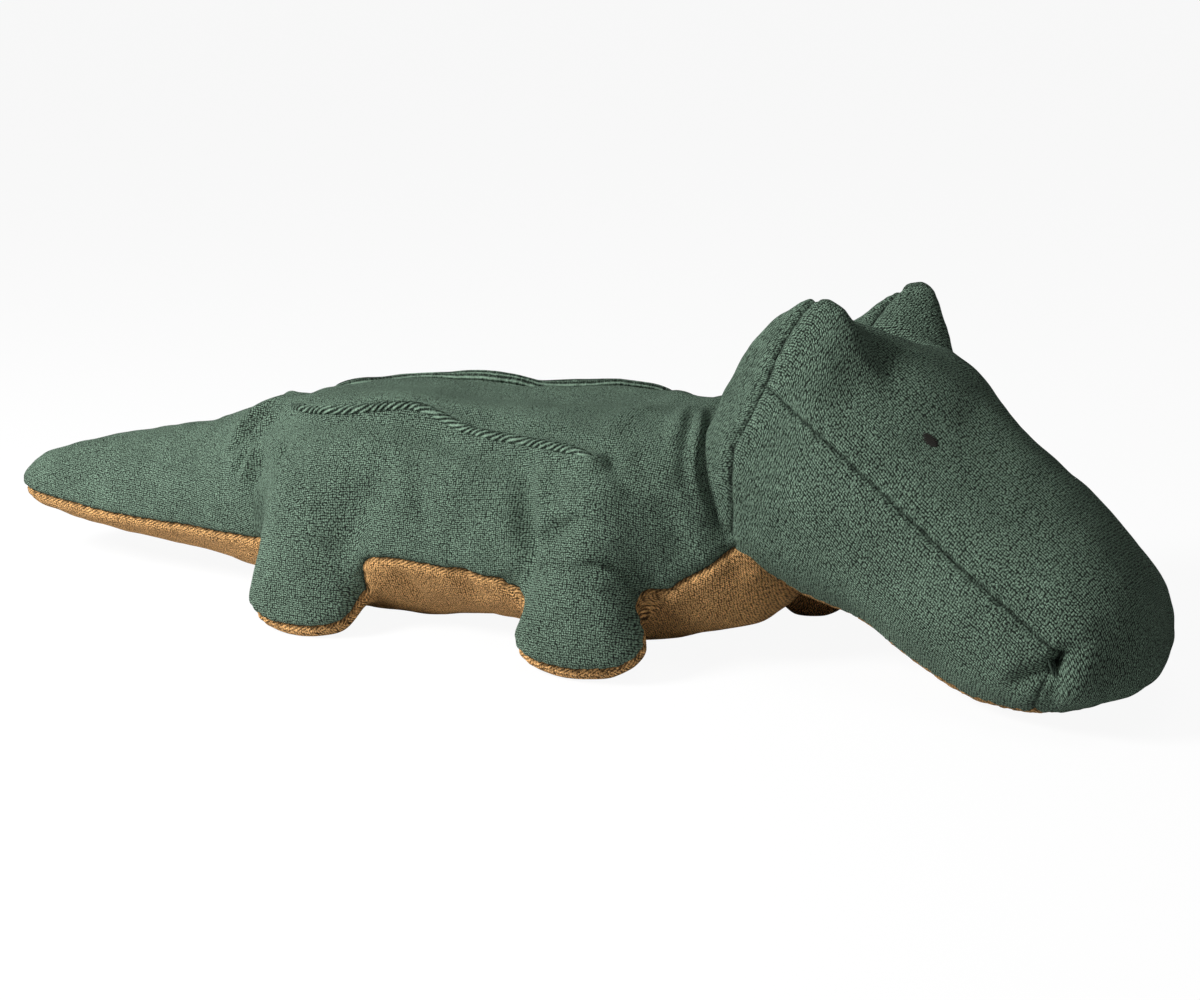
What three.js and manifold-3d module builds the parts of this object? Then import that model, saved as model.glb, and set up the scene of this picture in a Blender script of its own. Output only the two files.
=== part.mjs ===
// A stuffed crocodile of terry cloth, lying on its belly with its head turned to its right.
// Millimetres, +Z up, +X towards the head, +Y to the animal's left.
// The origin lies on the flat of the belly, half way between the hips and the neck.
// Each stuffed form is a cover of cloth panels, sewn edge to edge, round a body of filling.

import * as THREE from 'three';
import { mergeVertices } from 'three/addons/utils/BufferGeometryUtils.js';
import Module from 'manifold-3d';

const wasm = await Module();
wasm.setup();

// Cloth and stitching
const cloth_thickness = 2.4;
const seam_gap = 0.3;
const resting_flat = 0.5;
const overrun = 60;

// Torso
const torso_length = 236;
const torso_width = 148;
const torso_height = 104;
const torso_end_round = 34;
const chest_reach = 38;
const belly_seam_height = 43;
const neck_seam_height = 60;

// Tail
const tail_length = 162;
const tail_width = 80;
const tail_height = 84;
const tail_root_lift = 9;
const tail_tip_lift = 38;
const tail_tip_round = 26;
const tail_seam_height = 32;

// Legs
const front_foot_width = 62;
const hind_foot_width = 56;
const leg_thickness = 42;
const leg_length = 88;
const leg_root_height = 70;
const leg_splay = 16;
const spread_leg_splay = 4;
const spread_leg_swing = 48;

// Head, measured along its own axis
const head_length = 187;
const head_width = 116;
const head_height = 118;
const head_yaw = -14;
const head_pitch = 25;
const head_roll = 6;
const head_left_offset = 9;
const neck_overlap = 13;
const nape_seam_place = 0.5;
const nape_seam_lean = -6;
const nose_seam_place = 160;
const brow_spacing = 96;
const brow_length = 46;
const brow_width = 32;
const brow_rise = 24;

// Tucks, eyes and nostrils
const tuck_width = 4.8;
const tuck_height = 3.6;
const eye_length = 7;
const eye_height = 4.8;
const eye_relief = 1;
const eye_spacing = 83;
const eye_place = 67;
const nostril_length = 8;
const nostril_width = 2.6;
const nostril_drop = 5;

// How finely each form is faceted
const torso_steps = 12;
const torso_sides = 16;
const head_steps = 11;
const head_sides = 20;
const tail_steps = 8;
const tail_sides = 12;
const leg_steps = 6;
const leg_sides = 10;
const seam_steps = 8;
const tuck_steps = 18;
const stitch_steps = 4;
const stitch_sides = 8;

const terry_green = new THREE.Color('#53665a');
const terry_tan = new THREE.Color('#a07b4b');
const filling_white = new THREE.Color('#e9e7e0');
const thread_black = new THREE.Color('#211d1c');
const thread_green = new THREE.Color('#26332b');

// Solids for joining and cutting
function solidOf(geometry) {
  const bare = geometry.clone();
  bare.deleteAttribute('normal');
  bare.deleteAttribute('uv');
  const merged = mergeVertices(bare);
  const vertProperties = new Float32Array(merged.attributes.position.array);
  const triVerts = new Uint32Array(merged.index.array);
  return new wasm.Manifold(new wasm.Mesh({ numProp: 3, vertProperties, triVerts }));
}

function geometryOf(solid) {
  const cut = solid.getMesh();
  const geometry = new THREE.BufferGeometry();
  geometry.setAttribute('position', new THREE.BufferAttribute(new Float32Array(cut.vertProperties), 3));
  geometry.setIndex(new THREE.BufferAttribute(new Uint32Array(cut.triVerts), 1));
  geometry.computeVertexNormals();
  return geometry;
}

// A smooth value between hand-set stations, each a row that starts with its place
function between(stations, place, column) {
  const last = stations.length - 1;
  const at = (row) => stations[Math.min(Math.max(row, 0), last)];
  let row = 0;
  while (row < last - 1 && stations[row + 1][0] < place) row += 1;
  const span = at(row + 1)[0] - at(row)[0];
  const t = Math.min(Math.max((place - at(row)[0]) / span, 0), 1);
  const slope = (k) => (at(k + 1)[column] - at(k - 1)[column]) / (at(k + 1)[0] - at(k - 1)[0]) * span;
  const [a, b] = [at(row)[column], at(row + 1)[column]];
  const [p, q] = [slope(row), slope(row + 1)];
  return a + t * (p + t * (3 * (b - a) - 2 * p - q + t * (2 * (a - b) + p + q)));
}

// A point on a rounded section: wide at its middle level, with a crown above and a keel below
function sectionPoint(section, angle) {
  const { x, half_width, top, middle, bottom } = section;
  const below = Math.sin(angle) < 0;
  const fullness = below ? section.keel_fullness : section.fullness;
  const round = (value) => Math.sign(value) * Math.abs(value) ** (2 / fullness);
  const rise = below ? middle - bottom : top - middle;
  return [x, half_width * round(Math.cos(angle)), middle + rise * round(Math.sin(angle))];
}

// A closed form through sections along x, drawn to a point at each end, with an added lift above
function loft(sections, sides, liftAt = () => 0) {
  const points = [];
  const faces = [];
  const [first, final] = [sections[0], sections[sections.length - 1]];
  const rings = sections.slice(1, -1);
  points.push(first.x, 0, first.middle);
  for (const section of rings) {
    for (let side = 0; side < sides; side += 1) {
      const [x, y, z] = sectionPoint(section, 2 * Math.PI * side / sides);
      points.push(x, y, z > section.middle ? z + liftAt(x, y) : z);
    }
  }
  points.push(final.x, 0, final.middle);
  const tip = 1 + rings.length * sides;
  const last_ring = tip - sides;
  for (let side = 0; side < sides; side += 1) {
    const next = (side + 1) % sides;
    faces.push(0, 1 + next, 1 + side);
    faces.push(tip, last_ring + side, last_ring + next);
    for (let ring = 0; ring < rings.length - 1; ring += 1) {
      const [low, high] = [1 + ring * sides, 1 + (ring + 1) * sides];
      faces.push(low + side, low + next, high + next);
      faces.push(low + side, high + next, high + side);
    }
  }
  const geometry = new THREE.BufferGeometry();
  geometry.setAttribute('position', new THREE.Float32BufferAttribute(points, 3));
  geometry.setIndex(faces);
  geometry.computeVertexNormals();
  return geometry;
}

// The same form, drawn in by a distance all round, or let out where the distance is negative
function drawnIn(geometry, distance) {
  const inner = geometry.clone();
  const { position, normal } = geometry.attributes;
  for (let vertex = 0; vertex < position.count; vertex += 1) {
    const place = new THREE.Vector3().fromBufferAttribute(position, vertex);
    const out = new THREE.Vector3().fromBufferAttribute(normal, vertex);
    inner.attributes.position.setXYZ(vertex, ...place.addScaledVector(out, -distance));
  }
  return inner;
}

const end_fullness = 2.4;

// How far a rounded end has opened, from 0 at its tip to 1 past the rounding
function opened(distance, rounding, fullness = end_fullness) {
  const share = Math.min(Math.max(1 - distance / rounding, 0), 1);
  return (1 - share ** fullness) ** (1 / fullness);
}

// Places along a form, closer together at its rounded ends
function placesAlong(start, end, steps) {
  const places = [];
  for (let step = 0; step <= steps; step += 1) {
    const eased = (1 - Math.cos(Math.PI * step / steps)) / 2;
    places.push(start + (end - start) * eased);
  }
  return places;
}

// A block across y from an outline in x and z
function blockAcross(outline, width) {
  const shape = new THREE.Shape(outline.map(([x, z]) => new THREE.Vector2(x, z)));
  const block = new THREE.ExtrudeGeometry(shape, { depth: width, bevelEnabled: false });
  return block.rotateX(Math.PI / 2).translate(0, width / 2, 0);
}

function floorBlock() {
  const size = 2 * (torso_length + tail_length + head_length);
  return new THREE.BoxGeometry(size, size, size).translate(0, 0, -size / 2);
}

// Torso: widest at the shoulders, drawn in behind them, and narrow at neck and tail.
// Each row gives place along, half width, top and underside, as shares of the torso's sizes.
const torso_station_shares = [
  [0.00, 0.50, 0.89, 0.080], [0.08, 0.64, 0.94, 0.020], [0.20, 0.83, 1.00, 0.000],
  [0.36, 0.88, 1.03, 0.000], [0.52, 0.90, 1.01, 0.000], [0.68, 0.95, 1.04, 0.010],
  [0.82, 1.00, 1.03, 0.020], [0.92, 0.92, 1.04, 0.025], [1.00, 0.80, 1.05, 0.040],
  [1.12, 0.66, 1.00, 0.100],
];
const torso_start = -(torso_length + torso_end_round) / 2;
const torso_end = torso_length / 2 + chest_reach;
const torso_middle_share = 0.48;
const torso_fullness = 3.2;
const torso_keel_fullness = 2.1;

function torsoSection(x) {
  const place = x / torso_length + 0.5;
  const height = torso_height + resting_flat;
  const tip_distance = Math.min(x - torso_start, torso_end - x);
  const open = opened(tip_distance, torso_end_round);
  const middle = torso_middle_share * torso_height;
  const top = between(torso_station_shares, place, 2) * height - resting_flat;
  const bottom = between(torso_station_shares, place, 3) * height - resting_flat;
  return {
    x,
    half_width: between(torso_station_shares, place, 1) * torso_width / 2 * open,
    top: middle + (top - middle) * open,
    middle,
    bottom: middle - (middle - bottom) * open,
    fullness: torso_fullness,
    keel_fullness: torso_keel_fullness,
  };
}

function torsoForm() {
  return loft(placesAlong(torso_start, torso_end, torso_steps).map(torsoSection), torso_sides);
}

// Tail: a taper that lifts off the floor towards its tip.
// Each row gives place from root to tip, width and height, as shares of the root's.
const tail_station_shares = [
  [0.00, 1.00, 1.02], [0.06, 0.96, 0.98], [0.24, 0.84, 0.81], [0.43, 0.73, 0.68],
  [0.62, 0.62, 0.58], [0.77, 0.51, 0.48], [0.92, 0.39, 0.36], [1.00, 0.32, 0.30],
];
const tail_root_share = 0.15;
const tail_lift_power = 0.8;
const tail_fullness = 2.2;

function tailSection(x) {
  const root = -torso_length / 2;
  const place = (root - x) / tail_length;
  const open = opened(x - root + tail_length, tail_tip_round);
  const inside = opened(root + tail_root_share * torso_length - x, tail_tip_round);
  const half_height = between(tail_station_shares, place, 2) * tail_height / 2;
  const root_middle = tail_root_lift + tail_height / 2;
  const lifted = Math.min(Math.max(place, 0), 1) ** tail_lift_power;
  const middle = root_middle + (tail_tip_lift - root_middle) * lifted;
  return {
    x,
    half_width: between(tail_station_shares, place, 1) * tail_width / 2 * open * inside,
    top: middle + half_height * open * inside,
    middle,
    bottom: middle - half_height * open * inside,
    fullness: tail_fullness,
    keel_fullness: tail_fullness,
  };
}

function tailForm() {
  const root = -torso_length / 2;
  const places = placesAlong(root - tail_length, root + tail_root_share * torso_length, tail_steps);
  return loft(places.map(tailSection), tail_sides);
}

// Leg: a flat paddle that widens to a round toe, drawn along x from its root
const leg_station_shares = [
  [0.00, 0.92, 1.00], [0.30, 0.92, 1.00], [0.60, 0.97, 0.94], [0.85, 1.00, 0.84], [1.00, 0.98, 0.78],
];
const leg_round_share = 0.46;
const leg_fullness = 2.3;

function legSection(x, foot_width) {
  const place = x / leg_length;
  const open = opened(Math.min(x, leg_length - x), foot_width * leg_round_share);
  const half_thickness = between(leg_station_shares, place, 2) * leg_thickness / 2 * open;
  return {
    x,
    half_width: between(leg_station_shares, place, 1) * foot_width / 2 * open,
    top: half_thickness,
    middle: 0,
    bottom: -half_thickness,
    fullness: leg_fullness,
    keel_fullness: leg_fullness,
  };
}

// Where each leg starts, which side it is on, how wide its foot is, how far it stands out
// and how far it swings forward
const front_leg_share = 0.275;
const hind_leg_share = -0.325;
const spread_leg_share = 0.40;
const leg_root_share = 0.62;
const legs = [
  {
    name: 'right_front_leg', place: front_leg_share, side: -1,
    width: front_foot_width, splay: leg_splay, swing: 0,
  },
  {
    name: 'left_front_leg', place: spread_leg_share, side: 1,
    width: front_foot_width, splay: spread_leg_splay, swing: spread_leg_swing,
  },
  {
    name: 'right_hind_leg', place: hind_leg_share, side: -1,
    width: hind_foot_width, splay: leg_splay, swing: 0,
  },
  {
    name: 'left_hind_leg', place: hind_leg_share, side: 1,
    width: hind_foot_width, splay: leg_splay, swing: 0,
  },
];

// The leg's own x runs down to the toe, its y across the foot and its z out of the animal's side
function legPlacement(leg) {
  const splay = THREE.MathUtils.degToRad(leg.splay);
  const swing = THREE.MathUtils.degToRad(leg.swing);
  const down = new THREE.Vector3(
    Math.sin(swing) * Math.cos(splay), leg.side * Math.sin(splay), -Math.cos(swing) * Math.cos(splay));
  const forward = new THREE.Vector3(Math.cos(swing), 0, Math.sin(swing));
  const across = forward.clone().multiplyScalar(-leg.side);
  const out = new THREE.Vector3().crossVectors(down, across);
  const half_width = torsoSection(leg.place * torso_length).half_width;
  return new THREE.Matrix4().makeBasis(down, across, out).setPosition(
    leg.place * torso_length, leg.side * leg_root_share * half_width, leg_root_height);
}

function legForm(leg) {
  const places = placesAlong(0, leg_length, leg_steps);
  const sections = places.map((x) => legSection(x, leg.width));
  const form = loft(sections, leg_sides).applyMatrix4(legPlacement(leg));
  form.computeBoundingBox();
  const sink = form.boundingBox.min.z + resting_flat;
  form.translate(0, 0, -sink);
  return { form, sink };
}

// Head: deep and wide at the nape, drawn down to a broad blunt snout.
// Each row gives place, half width, seam level, crown and underside, as shares of the head's sizes.
const head_station_shares = [
  [0.00, 0.98, 0.11, 0.36, 0.58], [0.10, 1.00, 0.09, 0.40, 0.60], [0.24, 0.98, 0.055, 0.40, 0.585],
  [0.40, 0.90, 0.00, 0.335, 0.54], [0.56, 0.89, -0.045, 0.28, 0.54], [0.72, 0.90, -0.08, 0.215, 0.53],
  [0.86, 0.88, -0.115, 0.145, 0.44], [1.00, 0.83, -0.18, 0.08, 0.28],
];
const head_back_share = 0.144;
const back_round_share = 0.17;
const head_fullness = 2.3;
const head_keel_fullness = 3;
const snout_round_share = 0.18;
const chin_edge_share = 0.92;

function headSection(x) {
  const place = x / head_length;
  const back = opened(x + head_back_share * head_length, back_round_share * head_length, head_keel_fullness);
  const front = opened(head_length - x, snout_round_share * head_length);
  const open = back * front;
  const middle = between(head_station_shares, place, 2) * head_height;
  const crown = between(head_station_shares, place, 3) * head_height;
  const underside = -between(head_station_shares, place, 4) * head_height;
  const centre = (crown + underside) / 2;
  const level = centre + (middle - centre) * open;
  return {
    x,
    half_width: between(head_station_shares, place, 1) * head_width / 2 * open,
    top: centre + (crown - centre) * open,
    middle: level,
    bottom: centre + (underside - centre) * open,
    fullness: head_fullness,
    keel_fullness: head_keel_fullness,
  };
}

// The two humps of the brow at the top of the nape
function browLift(x, y) {
  const along = 2 * x / brow_length;
  const across = (2 * Math.abs(y) - brow_spacing) / brow_width;
  return brow_rise * Math.exp(-(along ** 2) - across ** 2);
}

function headForm() {
  const places = placesAlong(-head_back_share * head_length, head_length, head_steps);
  return loft(places.map(headSection), head_sides, browLift);
}

// The point of the head's side below its widest level
function cheekPoint(x, side, drop) {
  const { half_width, middle, bottom, keel_fullness } = headSection(x);
  const share = Math.min(drop / (middle - bottom), 1);
  const y = side * half_width * (1 - share ** keel_fullness) ** (1 / keel_fullness);
  return new THREE.Vector3(x, y, middle - drop);
}

// The point of the head's skin above a place along it and across it
function crownPoint(x, y) {
  const { half_width, top, middle, fullness } = headSection(x);
  const share = Math.min(Math.abs(y) / half_width, 1);
  return new THREE.Vector3(x, y, middle + (top - middle) * (1 - share ** fullness) ** (1 / fullness));
}

// Seams
function seamHeight(x) {
  const half = torso_length / 2;
  const stations = [
    [-half - tail_length, tail_tip_lift - resting_flat], [-half - tail_length / 2, tail_seam_height],
    [-half, tail_seam_height], [-half / 2, belly_seam_height], [half / 2, belly_seam_height],
    [half, neck_seam_height],
  ];
  return between(stations, x, 1);
}

// The room above or below the body's seam, half a seam gap clear of it
function bodySeamBlock(above) {
  const start = -torso_length / 2 - tail_length - overrun;
  const end = torso_length / 2 + overrun;
  const far = above ? torso_height + overrun : -overrun;
  const clear = above ? seam_gap / 2 : -seam_gap / 2;
  const outline = [];
  for (let step = 0; step <= seam_steps; step += 1) {
    const x = start + (end - start) * step / seam_steps;
    outline.push([x, seamHeight(x) + clear]);
  }
  outline.push([end, far], [start, far]);
  return blockAcross(outline, torso_width + overrun);
}

// In the head's own frame: the crown's edge, the chin's edge and the nape's edge
function crownEdge(x) {
  return between(head_station_shares, x / head_length, 2) * head_height;
}

function chinEdge(x) {
  return -between(head_station_shares, x / head_length, 4) * head_height * chin_edge_share;
}

// The room above such an edge, from behind the head to past its snout
function aboveEdge(edge, clear) {
  const start = -2 * head_back_share * head_length;
  const end = head_length - start;
  const outline = [];
  for (let step = 0; step <= seam_steps; step += 1) {
    const x = start + (end - start) * step / seam_steps;
    outline.push([x, edge(x) + clear]);
  }
  outline.push([end, 2 * head_height], [start, 2 * head_height]);
  return solidOf(blockAcross(outline, head_width + overrun));
}

// The room ahead of the seams' front ends, where the crown folds down over the snout
function aheadOfNose(clear) {
  return solidOf(new THREE.BoxGeometry(head_length, head_width + overrun, 4 * head_height)
    .translate(nose_seam_place + clear + head_length / 2, 0, 0));
}

function napeBlock(clear) {
  const lean = Math.tan(THREE.MathUtils.degToRad(nape_seam_lean));
  const edge = (z) => nape_seam_place + lean * z + clear;
  return blockAcross([
    [-head_length, -head_height], [edge(-head_height), -head_height],
    [edge(head_height), head_height], [-head_length, head_height],
  ], head_width + overrun);
}

const green_cloth = { color: terry_green, roughness: 0.95, metalness: 0 };
const tan_cloth = { color: terry_tan, roughness: 0.95, metalness: 0 };
const stuffing = { color: filling_white, roughness: 1, metalness: 0 };
const eye_thread = { color: thread_black, roughness: 0.7, metalness: 0 };
const pulled_thread = { color: thread_green, roughness: 0.8, metalness: 0 };

function piece(name, solid, finish) {
  const mesh = new THREE.Mesh(geometryOf(solid), new THREE.MeshStandardMaterial(finish));
  mesh.name = name;
  return mesh;
}

// The skins of one stuffed form: its outside, the inside of its cloth, its filling,
// and its outside with room to clear it
function layersOf(form) {
  return {
    outside: solidOf(form),
    inside: solidOf(drawnIn(form, cloth_thickness)),
    filling: solidOf(drawnIn(form, cloth_thickness + seam_gap)),
    reach: solidOf(drawnIn(form, -seam_gap)),
  };
}

const floor = solidOf(floorBlock());
const torso = layersOf(torsoForm());
const tail = layersOf(tailForm());

// The head hangs on its own group, lowered until the snout rests on the floor
const head_group = new THREE.Group();
const head_form = headForm();
head_group.quaternion
  .setFromAxisAngle(new THREE.Vector3(0, 0, 1), THREE.MathUtils.degToRad(head_yaw))
  .multiply(new THREE.Quaternion().setFromAxisAngle(
    new THREE.Vector3(0, 1, 0), THREE.MathUtils.degToRad(head_pitch)))
  .multiply(new THREE.Quaternion().setFromAxisAngle(
    new THREE.Vector3(1, 0, 0), THREE.MathUtils.degToRad(-head_roll)));
const turned_head = head_form.clone().applyQuaternion(head_group.quaternion);
turned_head.computeBoundingBox();
head_group.position.set(
  torso_length / 2 - neck_overlap - turned_head.boundingBox.min.x,
  head_left_offset,
  -turned_head.boundingBox.min.z - resting_flat);
head_group.updateMatrix();
const to_head = head_group.matrix.clone().invert();

function seenFromHead(form) {
  return solidOf(form.clone().applyMatrix4(to_head));
}

const head = layersOf(head_form);
const floor_from_head = seenFromHead(floorBlock());
const head_reach = solidOf(drawnIn(head_form, -seam_gap).applyMatrix4(head_group.matrix));

// Body: back and belly covers of torso and tail, with their filling
function bodyPieces() {
  const above = solidOf(bodySeamBlock(true));
  const below = solidOf(bodySeamBlock(false));
  const torso_cover = torso.outside.subtract(torso.inside).subtract(floor).subtract(head_reach);
  const tail_cover = tail.outside.subtract(tail.inside).subtract(torso.reach);
  return [
    piece('torso_back_cover', torso_cover.intersect(above), green_cloth),
    piece('torso_belly_cover', torso_cover.intersect(below), tan_cloth),
    piece('torso_filling', torso.filling.subtract(head_reach), stuffing),
    piece('tail_back_cover', tail_cover.intersect(above), green_cloth),
    piece('tail_belly_cover', tail_cover.intersect(below), tan_cloth),
    piece('tail_filling', tail.filling.subtract(torso.reach), stuffing),
  ];
}

// Legs: an outer cover and an under cover, sewn round the edge of the paddle
function legPieces(leg) {
  const { form, sink } = legForm(leg);
  const layers = layersOf(form);
  const size = 2 * leg_length;
  const placement = new THREE.Matrix4().makeTranslation(0, 0, -sink).multiply(legPlacement(leg));
  const half = (side) => solidOf(new THREE.BoxGeometry(2 * size, size, size)
    .translate(0, 0, side * (size + seam_gap) / 2).applyMatrix4(placement));
  const trim = (solid) => solid.subtract(torso.reach).subtract(head_reach);
  const cover = trim(layers.outside.subtract(layers.inside).subtract(floor));
  return [
    piece(`${leg.name}_outer_cover`, cover.intersect(half(1)), green_cloth),
    piece(`${leg.name}_under_cover`, cover.intersect(half(-1)), tan_cloth),
    piece(`${leg.name}_filling`, trim(layers.filling), stuffing),
  ];
}

// Head: nape, crown, two cheeks and chin, cut out of one cover, and the filling
function headPieces() {
  const clear = seam_gap / 2;
  const cover = head.outside.subtract(head.inside).subtract(floor_from_head);
  const front = cover.subtract(solidOf(napeBlock(clear)));
  const upper = front.intersect(aboveEdge(chinEdge, clear));
  const crown = upper.intersect(aboveEdge(crownEdge, clear).add(aheadOfNose(clear)));
  const cheeks = upper.subtract(aboveEdge(crownEdge, -clear)).subtract(aheadOfNose(-clear));
  const size = 2 * head_length;
  const half = (side) => solidOf(new THREE.BoxGeometry(2 * size, size, size)
    .translate(0, side * size / 2, 0));
  return [
    piece('head_nape_panel', cover.intersect(solidOf(napeBlock(-clear))), green_cloth),
    piece('head_crown_panel', crown, green_cloth),
    piece('head_right_cheek_panel', cheeks.intersect(half(-1)), green_cloth),
    piece('head_left_cheek_panel', cheeks.intersect(half(1)), green_cloth),
    piece('head_chin_panel', front.subtract(aboveEdge(chinEdge, -clear)), tan_cloth),
    piece('head_filling', head.filling, stuffing),
  ];
}

// A flat oval of stitches on the head's skin
function stitchedOval(name, place, out, along, size, finish) {
  const side = new THREE.Vector3().crossVectors(out, along).normalize();
  const forward = new THREE.Vector3().crossVectors(side, out);
  const oval = new THREE.SphereGeometry(1, stitch_sides, stitch_steps)
    .scale(size.length / 2, size.width / 2, size.relief)
    .applyMatrix4(new THREE.Matrix4().makeBasis(forward, side, out).setPosition(place));
  return piece(name, solidOf(oval).subtract(head.reach), finish);
}

function skinNormal(x, y) {
  const step = cloth_thickness;
  const along = crownPoint(x + step, y).sub(crownPoint(x - step, y));
  const across = crownPoint(x, y + step).sub(crownPoint(x, y - step));
  return along.cross(across).normalize();
}

function facePieces() {
  const forward = new THREE.Vector3(1, 0, 0);
  const eye = { length: eye_length, width: eye_height, relief: eye_relief };
  const nostril = { length: nostril_length, width: nostril_width, relief: nostril_width / 2 };
  const pieces = [];
  for (const [label, side] of [['right', -1], ['left', 1]]) {
    const eye_side = side * eye_spacing / 2;
    pieces.push(stitchedOval(`${label}_eye`, crownPoint(eye_place, eye_side),
      skinNormal(eye_place, eye_side), forward, eye, eye_thread));
    pieces.push(stitchedOval(`${label}_nostril_tack`, cheekPoint(nose_seam_place, side, nostril_drop),
      new THREE.Vector3(0, side, 0), forward, nostril, pulled_thread));
  }
  return pieces;
}

// The two tucks pinched up along the back: each row gives place along and distance from the middle,
// as shares of the torso's length and half width
const tuck_route_shares = [
  [-0.44, 0.22], [-0.38, 0.42], [-0.30, 0.57], [-0.20, 0.55], [-0.10, 0.52], [0.00, 0.57],
  [0.10, 0.64], [0.20, 0.71], [0.30, 0.79],
];

function backPoint(x, y) {
  const { half_width, top, middle, fullness } = torsoSection(x);
  const share = Math.min(Math.abs(y) / half_width, 1);
  return new THREE.Vector3(x, y, middle + (top - middle) * (1 - share ** fullness) ** (1 / fullness));
}

function tuckPiece(name, side) {
  const route = new THREE.CatmullRomCurve3(tuck_route_shares.map(([along, out]) => backPoint(
    along * torso_length, side * out * torso_width / 2)));
  const fold = new THREE.Shape().absellipse(0, 0, tuck_height, tuck_width / 2, 0, 2 * Math.PI);
  const ridge = new THREE.ExtrudeGeometry(fold, {
    steps: tuck_steps, curveSegments: 2, bevelEnabled: false, extrudePath: route,
  });
  return piece(name, solidOf(ridge).subtract(torso.reach).subtract(tail.reach), green_cloth);
}

const crocodile = new THREE.Group();
crocodile.add(...bodyPieces());
for (const leg of legs) crocodile.add(...legPieces(leg));
crocodile.add(tuckPiece('right_back_tuck', -1), tuckPiece('left_back_tuck', 1));
head_group.add(...headPieces(), ...facePieces());
crocodile.add(head_group);

export default crocodile;
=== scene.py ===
# A stuffed crocodile of terry cloth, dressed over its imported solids.
# The body and the head are each stuffed as one form, and their skins are then cut into panels
# along the seams, drawn in at the stitching and folded where the cloth is slack.
import math

import bmesh
import bpy
import numpy as np
from mathutils import Matrix, Vector, kdtree
from mathutils.bvhtree import BVHTree


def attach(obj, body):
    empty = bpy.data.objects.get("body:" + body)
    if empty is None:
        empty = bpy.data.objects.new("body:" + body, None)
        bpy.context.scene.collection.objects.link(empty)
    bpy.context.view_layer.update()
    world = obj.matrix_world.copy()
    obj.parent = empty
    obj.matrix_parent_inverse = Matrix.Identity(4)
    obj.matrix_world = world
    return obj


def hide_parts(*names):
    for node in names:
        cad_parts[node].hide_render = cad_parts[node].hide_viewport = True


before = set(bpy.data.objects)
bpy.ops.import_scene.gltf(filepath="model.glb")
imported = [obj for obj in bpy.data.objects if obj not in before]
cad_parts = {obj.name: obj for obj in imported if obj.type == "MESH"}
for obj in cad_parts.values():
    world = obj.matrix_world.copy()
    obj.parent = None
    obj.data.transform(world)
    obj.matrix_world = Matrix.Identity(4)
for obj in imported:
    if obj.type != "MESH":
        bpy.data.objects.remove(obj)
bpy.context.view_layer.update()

mm = 0.001

# Camera: where it looks, and from how far and which side
look_at = Vector((50, 0, 60)) * mm
camera_azimuth = math.radians(21)
camera_elevation = math.radians(16)
camera_distance = 900 * mm
camera_lens = 57.51

# Cloth and filling, with lengths in millimetres. A skin is rewoven in voxels, filled under
# pressure, which swells it no further than its cap, and covered with terry loops.
skin_thickness = 1.6
filling_inset = 3.6
filling_pressure, filling_steps = 5, 20
swell_cap = 4.0
body_voxel, head_voxel = 4.4, 4.0
body_loop, head_loop = 1.0, 1.18

# How finely a fold follows the surface, and how far a toe is pressed into the floor
fold_step = 6
toe_press = 2.8

# Tucks: the right one's line from above; then for the right side (-1) and the left (1) the cord's
# radius, its rise at places along the back, and the valley beside it: depth, distance, half width
tuck_line = [
    (-100, -23), (-88, -31), (-71, -38), (-49, -38.5), (-28, -36.5), (-3, -41), (22, -47),
    (46, -54), (70, -60)]
tuck_radii = {-1: 2.0, 1: 3.6}
tuck_rises = {
    -1: [(-100, 3.0), (70, 3.0)],
    1: [(-100, 2.0), (-70, 1.7), (-45, 1.6), (-25, 2.6), (0, 4.0), (20, 6.2), (40, 7.1),
        (56, 5.8), (70, 5.6)]}
tuck_valleys = {-1: (1.5, 7, 3.6), 1: (3.6, 9, 6)}

# Torso: its shares are place along, width, top and underside
torso_length, torso_width, torso_height = 236, 148, 104
torso_start, torso_end = -135, 156
torso_middle = 50
torso_shares = [
    (0.00, 0.50, 0.89, 0.080), (0.08, 0.64, 0.94, 0.020), (0.20, 0.83, 1.00, 0.000),
    (0.36, 0.88, 1.02, 0.015), (0.52, 0.90, 1.00, 0.042), (0.68, 0.95, 1.02, 0.050),
    (0.82, 1.01, 1.02, 0.045), (0.92, 0.89, 1.03, 0.055), (1.00, 0.765, 1.04, 0.075),
    (1.12, 0.64, 1.00, 0.130)]
torso_round = 34

# Tail: its shares are place along from the root, width and height
tail_length, tail_width, tail_height = 159, 80, 84
tail_root, tail_overlap = -torso_length / 2, 36
tail_root_lift, tail_tip_lift, tail_round = 9, 38, 26
tail_shares = [
    (0.00, 1.00, 1.00), (0.06, 0.96, 0.96), (0.24, 0.84, 0.77), (0.43, 0.73, 0.665),
    (0.62, 0.62, 0.59), (0.77, 0.51, 0.48), (0.92, 0.39, 0.36), (1.00, 0.32, 0.30)]

# Legs: their shares are place along, width and thickness; each leg has its place along the torso,
# its side, its foot width, and how many degrees it stands out and swings forward
leg_length, leg_thickness, leg_root_height = 88, 42, 70
leg_shares = [
    (0.00, 0.90, 1.00), (0.30, 0.88, 1.00), (0.60, 0.88, 0.97), (0.86, 1.08, 0.92),
    (1.00, 1.07, 0.88)]
legs = [
    (0.280, -1, 68, 19, 0), (0.41, 1, 62, 6, 52), (-0.327, -1, 57, 19, 0), (-0.325, 1, 56, 16, 0)]

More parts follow.
